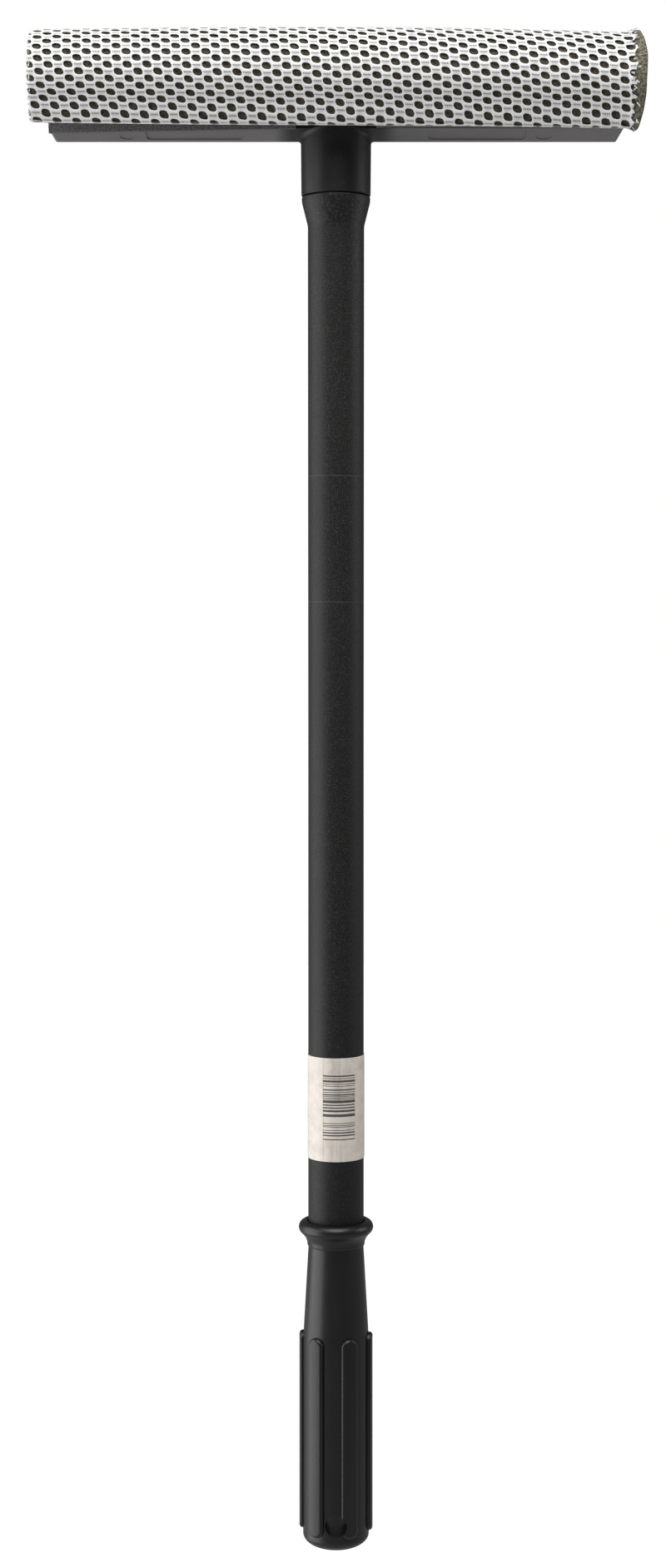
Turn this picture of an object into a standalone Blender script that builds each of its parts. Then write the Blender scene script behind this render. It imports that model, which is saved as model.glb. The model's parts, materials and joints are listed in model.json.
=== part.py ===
"""A windscreen washing squeegee: a net-covered sponge in front, a rubber blade behind, a long tube handle.

The origin is the middle of the handle's butt end. +Z runs up the handle to the head, the sponge faces -Y
and the blade faces +Y. Every dimension below is in millimetres, and the mesh builders turn it into metres.
"""
import math

import bmesh
import bpy

MM = 0.001
FIT_GAP = 0.3  # left between pieces that touch

# Grip: a moulding that stands inside the tube, with a rolled collar and finger ribs
GRIP_RADIUS = 13.15
GRIP_WAIST_RADIUS = 11.0
GRIP_WAIST_HEIGHT = 119.6
CONE_START = 82.1
BUTT_FLAT_RADIUS = 5.0
BUTT_ROUND_HEIGHT = 4.7
COLLAR_HEIGHT = 127.0
COLLAR_RING_RADIUS = 12.25
COLLAR_ROUND = 2.65
COLLAR_THROAT = ((11.2, 121.0), (11.9, 122.5), (12.9, 123.9))  # radius and height, above the waist
SPIGOT_RADIUS = 9.2
GRIP_SPIGOT_TOP = 155.0
GRIP_CORE_RADIUS = 6.5
GRIP_CORE_BOTTOM = 27.0
RIB_COUNT = 6
RIB_FIRST_ANGLE = -36.5  # degrees from -Y, seen from above
RIB_TOP_RADIUS = 14.65
RIB_HALF_WIDTH = 3.4
RIB_BOTTOM = 6.2
RIB_TOP = 85.2
HANG_HOLE_RADIUS = 4.3
HANG_HOLE_HEIGHT = 11.4

# Handle tube, with a bell at the top that takes the head's spigot
TUBE_RADIUS = 11.1
TUBE_TOP_RADIUS = 11.25
TUBE_BORE_RADIUS = 9.5
TUBE_BOTTOM = 124.6
BELL_RIM = 538.5
BELL_RADIUS = 13.7
BELL_FOOT = 527.6
BELL_BORE_RADIUS = 11.75
BELL_BORE_DEPTH = 8.2

# Barcode label, wrapped round the tube
LABEL_BOTTOM = 155.0
LABEL_TOP = 196.0
LABEL_GAP = 0.06
LABEL_THICKNESS = 0.2

# Head frame: heights in the head are measured up from the ridge under its base plate
RIDGE_HEIGHT = 561.4
RIDGE_Y = 3.5
UNDERSIDE_SLOPE = math.tan(math.radians(10.8))
HEAD_HALF_LENGTH = 113.8
HEAD_END_CHAMFER = 2.5
PLATE_FRONT = -10.9
PLATE_REAR = 15.0
PLATE_TOP = 6.0
PLATE_REAR_TOP = 4.6
PLATE_STEP = (5.2, 5.2)  # y and height where the plate's rear shelf ends
WEB_FRONT = -2.2
WEB_THICKNESS = 3.0
WEB_TOP = 22.5
NECK_RADIUS = 14.05
NECK_FOOT_RADIUS = 13.85
NECK_FOOT = 538.9 - RIDGE_HEIGHT
NECK_FILLET = 2.2
NECK_CAP = 4.4
NECK_STEP_RADIUS = 11.45
NECK_STEP_DEPTH = 8.3
NECK_SPIGOT_END = 500.0 - RIDGE_HEIGHT
NECK_CORE_RADIUS = 6.0
PANEL_CENTRE_X = 56.2
PANEL_SIZE = (39.0, 10.4)
PANEL_CENTRE_Y = -4.2
PANEL_DEPTH = 0.4
PANEL_ROUND = 2.0
EJECTOR_MARK = (83.0, -2.5, 3.35, 0.25)  # x, y, radius, depth
GUSSET_PLACES = (-105.0, -69.0, -23.0, 23.0, 69.0, 105.0)
GUSSET_THICKNESS = 2.0

# Blade: clamped on a seat that leans back from the web
SEAT_LEAN = 40.0  # degrees from upright
SEAT_FOOT = (3.6, 12.0)  # y and height of the seat's lower end
SEAT_LENGTH = 13.0
SEAT_WALL = 3.0
SEAT_ROOT = 6.8  # height where the seat leaves the plate's shelf
SEAT_CROTCH = ((1.7, 14.3), 14.9)  # y and height behind the seat, and height on the web
BLADE_THICKNESS = 2.4
BLADE_TIP_THICKNESS = 1.5
BLADE_HALF_LENGTH = 112.0
BLADE_HINGE_PLACE = 13.6  # up the seat, where the rubber bends
BLADE_FREE_LENGTH = 17.4
BLADE_RAIL_THICKNESS = 3.2
BLADE_RAIL_HALF_LENGTH = 110.5
BLADE_SCREW_PLACES = (-92.0, -46.0, 0.0, 46.0, 92.0)
BLADE_SCREW_SEAT_PLACE = 6.3
SCREW_RADIUS = 1.45
SCREW_HOLE_RADIUS = 1.75

# Sponge rail: the front jaw, whose skirt hangs lower at the -X end
RAIL_FRONT = -13.6
RAIL_WALL = 2.4
RAIL_TOP = 11.5
RAIL_FOOT_THICKNESS = 2.3
SKIRT_MIDDLE = 2.55
SKIRT_SLOPE = 0.0181
NECK_NOTCH = (15.9, 4.9)  # half width and height of the notch that clears the neck
RAIL_SCREW_PLACES = (-90.0, -34.0, 34.0, 90.0)
RAIL_SCREW_Y = -6.6
RAIL_SCREW_TIP = 3.3
COUNTERSINK = ((0.0, -1.75), (1.6, -1.75), (3.6, 0.25), (3.6, 1.0), (0.0, 1.0))  # radius and height

# Sponge roll and its net
SPONGE_CENTRE = (-20.0, 21.6)  # y and height
NET_RADIUS = 18.96
NET_THICKNESS = 0.8
NET_ENDS = (-119.3, 114.2)
FOAM_ENDS = (-118.6, 119.2)
NET_LEAVES_ROLL = -16.0  # y where the net turns up from the roll, in front of the rail
NET_TURNS_UP = 6.4  # height where it meets the rail's front

ROUND_STEPS = 40
SCREW_STEPS = 14


def clear_scene():
    for old in list(bpy.data.objects):
        bpy.data.objects.remove(old)


def plastic(name, colour, roughness, metallic=0.0):
    made = bpy.data.materials.new(name)
    made.use_nodes = True
    shader = made.node_tree.nodes["Principled BSDF"]
    shader.inputs["Base Color"].default_value = (*colour, 1.0)
    shader.inputs["Roughness"].default_value = roughness
    shader.inputs["Metallic"].default_value = metallic
    return made


def datum(name, location, parent=None, lean=0.0):
    """An empty that pieces hang from. lean turns it about X, in degrees."""
    made = bpy.data.objects.new(name, None)
    bpy.context.collection.objects.link(made)
    made.location = [value * MM for value in location]
    made.rotation_euler = (math.radians(lean), 0.0, 0.0)
    made.parent = parent
    return made


def piece(name, shape, finish, parent=None, location=(0.0, 0.0, 0.0), rotation=(0.0, 0.0, 0.0)):
    """Puts a bmesh in millimetres into the scene as an object in metres."""
    bmesh.ops.remove_doubles(shape, verts=shape.verts, dist=1e-5)
    bmesh.ops.triangulate(shape, faces=[face for face in shape.faces if len(face.verts) > 4])
    bmesh.ops.recalc_face_normals(shape, faces=shape.faces)
    bmesh.ops.scale(shape, vec=(MM, MM, MM), verts=shape.verts)
    mesh = bpy.data.meshes.new(name)
    shape.to_mesh(mesh)
    shape.free()
    mesh.shade_smooth()
    mesh.set_sharp_from_angle(angle=math.radians(32))
    if finish:
        mesh.materials.append(finish)
    made = bpy.data.objects.new(name, mesh)
    bpy.context.collection.objects.link(made)
    made.location = [value * MM for value in location]
    made.rotation_euler = [math.radians(value) for value in rotation]
    made.parent = parent
    return made


def tool(name, shape, parent=None, location=(0.0, 0.0, 0.0), rotation=(0.0, 0.0, 0.0)):
    """A helper that only joins or cuts other pieces."""
    made = piece(name, shape, None, parent, location, rotation)
    made.hide_render = True
    made.display_type = "WIRE"
    return made


def combine(target, other, operation):
    step = target.modifiers.new(other.name, "BOOLEAN")
    step.operation = operation
    step.object = other


def prism(outline, ends):
    """A closed outline of (y, z) points, run along X between the two ends."""
    shape = bmesh.new()
    loops = [[shape.verts.new((x, y, z)) for y, z in outline] for x in ends]
    shape.faces.new(loops[0])
    shape.faces.new(loops[1])
    for i in range(len(outline)):
        j = (i + 1) % len(outline)
        shape.faces.new((loops[0][i], loops[0][j], loops[1][j], loops[1][i]))
    return shape


def turned(profile, steps):
    """A closed profile of (radius, z) points, turned about Z."""
    shape = bmesh.new()
    rings = []
    for radius, z in profile:
        count = steps if radius > 0 else 1
        turns = [2 * math.pi * i / steps for i in range(count)]
        rings.append([shape.verts.new((radius * math.cos(t), radius * math.sin(t), z)) for t in turns])
    for lower, upper in zip(rings, rings[1:] + rings[:1]):
        if len(lower) == 1 and len(upper) == 1:
            continue
        for i in range(steps):
            j = (i + 1) % steps
            corners = [ring[k % len(ring)] for ring, k in ((lower, i), (lower, j), (upper, j), (upper, i))]
            shape.faces.new(list(dict.fromkeys(corners)))
    return shape


def arc(centre, radius, start, end, count):
    """Points on an arc, angles in degrees. radius may be a pair, for an ellipse."""
    across, up = radius if isinstance(radius, tuple) else (radius, radius)
    angles = [math.radians(start + (end - start) * i / (count - 1)) for i in range(count)]
    return [(centre[0] + across * math.cos(a), centre[1] + up * math.sin(a)) for a in angles]


def offset(path, distance):
    """The open path moved sideways, to its left where distance is positive, with mitred corners."""
    moved = []
    for i, (y, z) in enumerate(path):
        before = path[max(i - 1, 0)]
        after = path[min(i + 1, len(path) - 1)]
        sides = []
        for (y0, z0), (y1, z1) in ((before, (y, z)), ((y, z), after)):
            length = math.hypot(y1 - y0, z1 - z0)
            if length > 0:
                sides.append((-(z1 - z0) / length, (y1 - y0) / length))
        normal = (sum(s[0] for s in sides) / len(sides), sum(s[1] for s in sides) / len(sides))
        stretch = distance / (normal[0] ** 2 + normal[1] ** 2)
        moved.append((y + normal[0] * stretch, z + normal[1] * stretch))
    return moved


def add_rods(shape, radius, ends, steps=SCREW_STEPS):
    """Adds closed cylinders to a bmesh, each between two points that differ along one axis only."""
    for start, end in ends:
        axis = max(range(3), key=lambda k: abs(end[k] - start[k]))
        across = [k for k in range(3) if k != axis]
        loops = []
        for centre in (start, end):
            loop = []
            for i in range(steps):
                angle = 2 * math.pi * i / steps
                place = list(centre)
                place[across[0]] += radius * math.cos(angle)
                place[across[1]] += radius * math.sin(angle)
                loop.append(shape.verts.new(place))
            loops.append(loop)
        shape.faces.new(loops[0])
        shape.faces.new(loops[1])
        for i in range(steps):
            j = (i + 1) % steps
            shape.faces.new((loops[0][i], loops[0][j], loops[1][j], loops[1][i]))
    return shape


def grip_rib(angle):
    """One finger rib: an upright stadium wrapped on the grip, with its crown drawn in."""
    straight_ends = (RIB_BOTTOM + RIB_HALF_WIDTH, RIB_TOP - RIB_HALF_WIDTH)
    layers = (  # radius, and how far the stadium is drawn in there
        (GRIP_RADIUS - 1.6, 0.0),
        (RIB_TOP_RADIUS - 0.9, 0.0),
        (RIB_TOP_RADIUS - 0.25, 0.35),
        (RIB_TOP_RADIUS, 1.1),
    )
    shape = bmesh.new()
    loops = []
    for radius, drawn_in in layers:
        half = RIB_HALF_WIDTH - drawn_in
        outline = arc((0.0, straight_ends[1]), half, 0, 180, 8)
        outline += arc((0.0, straight_ends[0]), half, 180, 360, 8)
        loop = []
        for along, z in outline:
            turn = math.radians(angle) + along / GRIP_RADIUS
            loop.append(shape.verts.new((radius * math.sin(turn), -radius * math.cos(turn), z)))
        loops.append(loop)
    count = len(loops[0])
    for lower, upper in zip(loops, loops[1:]):
        for i in range(count):
            j = (i + 1) % count
            shape.faces.new((lower[i], lower[j], upper[j], upper[i]))
    for loop, flip in ((loops[0], False), (loops[-1], True)):
        for i in range(count // 2 - 1):
            corners = (loop[i], loop[i + 1], loop[count - 2 - i], loop[count - 1 - i])
            shape.faces.new(corners[::-1] if flip else corners)
    return shape


def make_grip(finish):
    flat_to_side = (GRIP_RADIUS - BUTT_FLAT_RADIUS, BUTT_ROUND_HEIGHT)
    outside = [(0.0, 0.0)]
    outside += arc((BUTT_FLAT_RADIUS, BUTT_ROUND_HEIGHT), flat_to_side, -90, 0, 7)
    outside += [(GRIP_RADIUS, CONE_START), (GRIP_WAIST_RADIUS, GRIP_WAIST_HEIGHT), *COLLAR_THROAT]
    outside += arc((COLLAR_RING_RADIUS, COLLAR_HEIGHT), COLLAR_ROUND, -52, 102, 9)
    socket_radius = TUBE_RADIUS + FIT_GAP
    socket_floor = TUBE_BOTTOM - FIT_GAP
    inside = [
        (socket_radius, COLLAR_HEIGHT + COLLAR_ROUND - 0.6),
        (socket_radius, socket_floor),
        (SPIGOT_RADIUS, socket_floor),
        (SPIGOT_RADIUS, GRIP_SPIGOT_TOP - 1.0),
        (SPIGOT_RADIUS - 0.7, GRIP_SPIGOT_TOP),
        (GRIP_CORE_RADIUS, GRIP_SPIGOT_TOP),
        (GRIP_CORE_RADIUS, GRIP_CORE_BOTTOM + 2.0),
        (0.0, GRIP_CORE_BOTTOM),
    ]
    grip = piece("grip", turned(outside + inside, ROUND_STEPS), finish)
    for number in range(RIB_COUNT):
        angle = RIB_FIRST_ANGLE + number * 360 / RIB_COUNT
        combine(grip, tool(f"rib_{number + 1}", grip_rib(angle)), "UNION")
    reach = RIB_TOP_RADIUS + 3
    hole = [((0.0, -reach, HANG_HOLE_HEIGHT), (0.0, reach, HANG_HOLE_HEIGHT))]
    combine(grip, tool("hang_hole", add_rods(bmesh.new(), HANG_HOLE_RADIUS, hole, 24)), "DIFFERENCE")


def make_tube(finish):
    outside = [
        (TUBE_RADIUS, TUBE_BOTTOM),
        (TUBE_RADIUS, 318.0),
        (TUBE_TOP_RADIUS, BELL_FOOT - 2.0),
        (TUBE_TOP_RADIUS + 0.15, BELL_FOOT),
        (BELL_RADIUS - 0.15, BELL_RIM - 2.4),
        (BELL_RADIUS, BELL_RIM - 1.0),
        (BELL_RADIUS - 0.1, BELL_RIM),
    ]
    inside = [
        (BELL_BORE_RADIUS, BELL_RIM),
        (BELL_BORE_RADIUS, BELL_RIM - BELL_BORE_DEPTH),
        (TUBE_BORE_RADIUS, BELL_FOOT - 2.0),
        (TUBE_BORE_RADIUS, TUBE_BOTTOM),
    ]
    piece("handle_tube", turned(outside + inside, ROUND_STEPS), finish)


def make_label(finish):
    inner = TUBE_RADIUS + LABEL_GAP
    outer = inner + LABEL_THICKNESS
    ring = [(inner, LABEL_BOTTOM), (outer, LABEL_BOTTOM), (outer, LABEL_TOP), (inner, LABEL_TOP)]
    piece("barcode_label", turned(ring, ROUND_STEPS), finish)


def underside(y):
    """Height of the base plate's underside above its ridge."""
    return UNDERSIDE_SLOPE * abs(y - RIDGE_Y)


def neck_and_spigot():
    """The neck under the base plate, flared into its slope, and the cored spigot that enters the tube."""
    fillet_steps = 5
    rounds = [math.radians(90 * i / (fillet_steps - 1)) for i in range(fillet_steps)]
    drops = [NECK_FILLET * (1 - math.sin(a)) for a in rounds]
    flares = [NECK_FILLET * (1 - math.cos(a)) for a in rounds]
    profile = [
        (0.0, -5.0),
        (NECK_CORE_RADIUS, -7.0),
        (NECK_CORE_RADIUS, NECK_SPIGOT_END),
        (SPIGOT_RADIUS - 0.7, NECK_SPIGOT_END),
        (SPIGOT_RADIUS, NECK_SPIGOT_END + 1.2),
        (SPIGOT_RADIUS, NECK_FOOT - NECK_STEP_DEPTH - 1.5),
        (NECK_STEP_RADIUS, NECK_FOOT - NECK_STEP_DEPTH + 1.2),
        (NECK_STEP_RADIUS, NECK_FOOT),
        (NECK_FOOT_RADIUS - 0.3, NECK_FOOT),
        (NECK_FOOT_RADIUS, NECK_FOOT + 0.4),
    ]
    first_sloped = len(profile)
    profile += [(NECK_RADIUS + flare, -drop) for flare, drop in zip(flares, drops)]
    last_sloped = len(profile)
    profile += [(NECK_RADIUS, NECK_CAP), (0.0, NECK_CAP)]
    shape = turned(profile, ROUND_STEPS)
    rings_below = 1 + (first_sloped - 1) * ROUND_STEPS
    shape.verts.ensure_lookup_table()
    for vert in shape.verts[rings_below : rings_below + (last_sloped - first_sloped) * ROUND_STEPS]:
        radius = math.hypot(vert.co.x, vert.co.y)
        flare = (radius - NECK_RADIUS) * (vert.co.x / radius) ** 2  # none at the front and rear
        vert.co.x *= (NECK_RADIUS + flare) / radius
        vert.co.y *= (NECK_RADIUS + flare) / radius
        vert.co.z += underside(vert.co.y)
    return shape


def seat_point(up, out):
    """y and height of a place on the blade seat: up along it, and out from its face."""
    lean = math.radians(SEAT_LEAN)
    y = SEAT_FOOT[0] + up * math.sin(lean) + out * math.cos(lean)
    z = SEAT_FOOT[1] + up * math.cos(lean) - out * math.sin(lean)
    return y, z


def head_section():
    web_rear = WEB_FRONT + WEB_THICKNESS
    return [
        (PLATE_FRONT, underside(PLATE_FRONT)),
        (RIDGE_Y - 1.2, underside(RIDGE_Y - 1.2)),
        (RIDGE_Y, 0.12),
        (RIDGE_Y + 1.2, underside(RIDGE_Y + 1.2)),
        (PLATE_REAR, underside(PLATE_REAR)),
        (PLATE_REAR, PLATE_REAR_TOP),
        PLATE_STEP,
        (SEAT_FOOT[0], SEAT_ROOT),
        SEAT_FOOT,
        seat_point(SEAT_LENGTH, 0.0),
        seat_point(SEAT_LENGTH, -SEAT_WALL),
        SEAT_CROTCH[0],
        (web_rear, SEAT_CROTCH[1]),
        (web_rear, WEB_TOP - 0.6),
        (web_rear - 0.6, WEB_TOP),
        (WEB_FRONT + 0.6, WEB_TOP),
        (WEB_FRONT, WEB_TOP - 0.6),
        (WEB_FRONT, PLATE_TOP),
        (PLATE_FRONT + 0.4, PLATE_TOP),
        (PLATE_FRONT, PLATE_TOP - 0.4),
    ]


def chamfer_ends(shape):
    """Cuts both ends of the base plate back towards the ridge."""
    rise = underside(PLATE_FRONT)
    for side in (-1, 1):
        bmesh.ops.bisect_plane(
            shape,
            geom=shape.verts[:] + shape.edges[:] + shape.faces[:],
            plane_co=(side * HEAD_HALF_LENGTH, 0.0, rise),
            plane_no=(side * rise, 0.0, -HEAD_END_CHAMFER),
            clear_outer=True,
        )
        open_edges = [edge for edge in shape.edges if edge.is_boundary]
        bmesh.ops.holes_fill(shape, edges=open_edges)


def recess_outlines(side):
    """The rounded panel and the round mark on one side, each an (x, y) outline and its depth."""
    half_x, half_y = PANEL_SIZE[0] / 2, PANEL_SIZE[1] / 2
    panel = []
    for cx, cy, start in ((1, 1, 0), (-1, 1, 90), (-1, -1, 180), (1, -1, 270)):
        x = side * PANEL_CENTRE_X + cx * (half_x - PANEL_ROUND)
        y = PANEL_CENTRE_Y + cy * (half_y - PANEL_ROUND)
        panel += arc((x, y), PANEL_ROUND, start, start + 90, 4)
    x, y, radius, depth = EJECTOR_MARK
    mark = arc((side * x, y), radius, 0, 360 * 15 / 16, 16)
    return (panel, PANEL_DEPTH), (mark, depth)


def panel_cutters():
    """Two shallow rounded recesses in the underside, and the round marks beside them."""
    shape = bmesh.new()
    for outline, depth in recess_outlines(-1) + recess_outlines(1):
        bottom = [shape.verts.new((x, y, underside(y) - 2.0)) for x, y in outline]
        top = [shape.verts.new((x, y, underside(y) + depth)) for x, y in outline]
        shape.faces.new(bottom)
        shape.faces.new(top)
        for i in range(len(bottom)):
            j = (i + 1) % len(bottom)
            shape.faces.new((bottom[i], bottom[j], top[j], top[i]))
    return shape


def make_head_frame(head, seat, finish):
    section = prism(head_section(), (-HEAD_HALF_LENGTH, HEAD_HALF_LENGTH))
    chamfer_ends(section)
    frame = piece("head_frame", section, finish, head)
    combine(frame, tool("neck", neck_and_spigot(), head), "UNION")
    inside_web = WEB_FRONT + WEB_THICKNESS - 1
    inside_seat = seat_point(SEAT_LENGTH - 1.5, -SEAT_WALL / 2)
    low = SEAT_CROTCH[0][1] - 1.3
    outline = [(inside_web, inside_seat[1]), (inside_web, low), (SEAT_CROTCH[0][0] + 0.5, low), inside_seat]
    for number, x in enumerate(GUSSET_PLACES):
        ends = (x - GUSSET_THICKNESS / 2, x + GUSSET_THICKNESS / 2)
        combine(frame, tool(f"gusset_{number + 1}", prism(outline, ends), head), "UNION")
    combine(frame, tool("underside_recesses", panel_cutters(), head), "DIFFERENCE")
    combine(frame, blade_screw_holes("frame_blade_holes", seat, -SEAT_WALL - 2.5, 0.5), "DIFFERENCE")
    holes = rail_screw_holes("frame_rail_holes", head, RAIL_SCREW_TIP - FIT_GAP, PLATE_TOP + 1)
    combine(frame, holes, "DIFFERENCE")


def rail_screw_holes(name, head, low, high):
    """Drills for the rail screws, upright from low to high."""
    ends = [((x, RAIL_SCREW_Y, low), (x, RAIL_SCREW_Y, high)) for x in RAIL_SCREW_PLACES]
    return tool(name, add_rods(bmesh.new(), SCREW_HOLE_RADIUS, ends), head)


def blade_screw_holes(name, seat, inner, outer):
    """Drills for the blade screws, along the seat's normal from inner to outer."""
    up = BLADE_SCREW_SEAT_PLACE
    ends = [((x, inner, up), (x, outer, up)) for x in BLADE_SCREW_PLACES]
    return tool(name, add_rods(bmesh.new(), SCREW_HOLE_RADIUS, ends), seat)


def make_sponge_rail(head, finish):
    wall_rear = RAIL_FRONT + RAIL_WALL
    foot_bottom = PLATE_TOP + FIT_GAP
    foot_top = foot_bottom + RAIL_FOOT_THICKNESS
    outline = [
        (RAIL_FRONT, -1.0),
        (wall_rear, -1.0),
        (wall_rear, foot_bottom),
        (WEB_FRONT - FIT_GAP, foot_bottom),
        (WEB_FRONT - FIT_GAP, foot_top),
        (wall_rear, foot_top),
        (wall_rear, RAIL_TOP - 0.8),
        (wall_rear - 0.8, RAIL_TOP),
        (RAIL_FRONT + 0.8, RAIL_TOP),
        (RAIL_FRONT, RAIL_TOP - 0.8),
    ]
    shape = prism(outline, (-HEAD_HALF_LENGTH + 0.4, HEAD_HALF_LENGTH - 0.4))
    bmesh.ops.bisect_plane(
        shape,
        geom=shape.verts[:] + shape.edges[:] + shape.faces[:],
        plane_co=(0.0, 0.0, SKIRT_MIDDLE),
        plane_no=(SKIRT_SLOPE, 0.0, -1.0),
        clear_outer=True,
    )
    bmesh.ops.holes_fill(shape, edges=[edge for edge in shape.edges if edge.is_boundary])
    rail = piece("sponge_rail", shape, finish, head)
    half, height = NECK_NOTCH
    notch = [(RAIL_FRONT - 2, -5.0), (wall_rear + 2, -5.0), (wall_rear + 2, height), (RAIL_FRONT - 2, height)]
    combine(rail, tool("neck_notch", prism(notch, (-half, half)), head), "DIFFERENCE")
    combine(rail, rail_screw_holes("rail_foot_holes", head, foot_bottom - 1, foot_top + 1), "DIFFERENCE")
    for number, x in enumerate(RAIL_SCREW_PLACES):
        sink = turned(COUNTERSINK, SCREW_STEPS)
        place = (x, RAIL_SCREW_Y, foot_top)
        combine(rail, tool(f"countersink_{number + 1}", sink, head, place), "DIFFERENCE")
    return foot_top


def make_rail_screws(head, foot_top, finish):
    """Countersunk screws that stand flush in the rail's foot."""
    length = foot_top - RAIL_SCREW_TIP
    profile = [(0.0, -length), (0.9, -length), (SCREW_RADIUS, -length + 0.8), (SCREW_RADIUS, -1.45)]
    profile += [(2.85, -0.1), (2.85, 0.0), (0.9, 0.0), (0.0, -0.7)]
    for number, x in enumerate(RAIL_SCREW_PLACES):
        place = (x, RAIL_SCREW_Y, foot_top)
        piece(f"rail_screw_{number + 1}", turned(profile, SCREW_STEPS), finish, head, place)


def net_path():
    """Middle line of the net's section: from the jaw over the rail, round the roll and back to the jaw."""
    half = NET_THICKNESS / 2
    radius = NET_RADIUS - half
    hem = PLATE_TOP + FIT_GAP + RAIL_FOOT_THICKNESS + 0.6
    behind_wall = RAIL_FRONT + RAIL_WALL + FIT_GAP + half
    before_wall = RAIL_FRONT - FIT_GAP - half
    over_wall = RAIL_TOP + FIT_GAP + half
    before_web = WEB_FRONT - FIT_GAP - half
    start = -math.degrees(math.acos((NET_LEAVES_ROLL - SPONGE_CENTRE[0]) / radius))
    end = math.degrees(math.acos((before_web - SPONGE_CENTRE[0]) / radius)) - 360
    path = [(behind_wall, hem), (behind_wall, over_wall)]
    path += [(before_wall, over_wall), (before_wall, NET_TURNS_UP)]
    path += arc(SPONGE_CENTRE, radius, start, end, 44)
    path += [(before_web, hem)]
    return path


def make_sponge(head, net_finish, foam_finish):
    path = net_path()
    half = NET_THICKNESS / 2
    section = offset(path, half) + offset(path, -half)[::-1]
    piece("sponge_net", prism(section, NET_ENDS), net_finish, head)
    foam_section = offset(path, -half - FIT_GAP)
    piece("sponge_foam", prism(foam_section, FOAM_ENDS), foam_finish, head)


def make_blade(seat, hinge, finish):
    half = BLADE_THICKNESS / 2
    middle = FIT_GAP + half
    foot_end = BLADE_HINGE_PLACE - half - FIT_GAP
    ends = (-BLADE_HALF_LENGTH, BLADE_HALF_LENGTH)
    foot = [(middle - half, 0.5), (middle + half, 0.5), (middle + half, foot_end), (middle - half, foot_end)]
    root = piece("blade_root", prism(foot, ends), finish, seat)
    combine(root, blade_screw_holes("root_holes", seat, -1.0, BLADE_THICKNESS + 1.5), "DIFFERENCE")
    tip = BLADE_TIP_THICKNESS / 2
    lip = arc((0.0, 0.0), half, 180, 360, 9) + [(tip, BLADE_FREE_LENGTH), (-tip, BLADE_FREE_LENGTH)]
    piece("blade_lip", prism(lip, ends), finish, hinge)


def make_blade_rail(seat, finish):
    inner = BLADE_THICKNESS + 2 * FIT_GAP
    outer = inner + BLADE_RAIL_THICKNESS
    outline = [(inner, -0.5), (outer - 1.0, -0.5), (outer, 0.5), (outer, 12.0), (outer - 1.0, SEAT_LENGTH)]
    outline += [(inner, SEAT_LENGTH)]
    ends = (-BLADE_RAIL_HALF_LENGTH, BLADE_RAIL_HALF_LENGTH)
    rail = piece("blade_rail", prism(outline, ends), finish, seat)
    combine(rail, blade_screw_holes("rail_holes", seat, inner - 1, outer + 1), "DIFFERENCE")
    return outer


def make_blade_screws(seat, outer, finish):
    """Pan head screws whose heads stand on the rail's outer face."""
    length = outer + SEAT_WALL - 0.4
    profile = [(0.0, -length), (0.9, -length), (SCREW_RADIUS, -length + 1.0), (SCREW_RADIUS, FIT_GAP)]
    profile += [(3.0, FIT_GAP), (3.1, 1.0), (2.7, 1.8), (1.7, 2.2), (1.1, 2.2), (0.0, 1.0)]
    for number, x in enumerate(BLADE_SCREW_PLACES):
        place = (x, outer, BLADE_SCREW_SEAT_PLACE)
        shape = turned(profile, SCREW_STEPS)
        piece(f"blade_screw_{number + 1}", shape, finish, seat, place, (-90.0, 0.0, 0.0))


def main():
    clear_scene()
    black_moulding = plastic("head_black", (0.020, 0.020, 0.021), 0.45)
    rail_black = plastic("rail_black", (0.018, 0.018, 0.019), 0.6)
    tube_black = plastic("tube_black", (0.024, 0.023, 0.023), 0.6)
    grip_black = plastic("grip_black", (0.021, 0.021, 0.021), 0.48)
    rubber = plastic("blade_rubber", (0.012, 0.012, 0.012), 0.7)
    net_white = plastic("net_white", (0.78, 0.78, 0.76), 0.8)
    foam_olive = plastic("foam_olive", (0.14, 0.13, 0.10), 0.95)
    paper = plastic("label_paper", (0.70, 0.65, 0.58), 0.6)
    zinc = plastic("screw_zinc", (0.55, 0.55, 0.54), 0.35, 1.0)

    head = datum("head_datum", (0.0, 0.0, RIDGE_HEIGHT))
    seat = datum("blade_seat", (0.0, *SEAT_FOOT), head, -SEAT_LEAN)
    hinge_out = FIT_GAP + BLADE_THICKNESS / 2
    hinge = datum("blade_hinge", (0.0, hinge_out, BLADE_HINGE_PLACE), seat)
    bpy.context.view_layer.update()

    make_grip(grip_black)
    make_tube(tube_black)
    make_label(paper)
    make_head_frame(head, seat, black_moulding)
    foot_top = make_sponge_rail(head, rail_black)
    make_rail_screws(head, foot_top, zinc)
    make_sponge(head, net_white, foam_olive)
    make_blade(seat, hinge, rubber)
    outer = make_blade_rail(seat, rail_black)
    make_blade_screws(seat, outer, zinc)


main()
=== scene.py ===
import json
import math
import random

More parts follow.
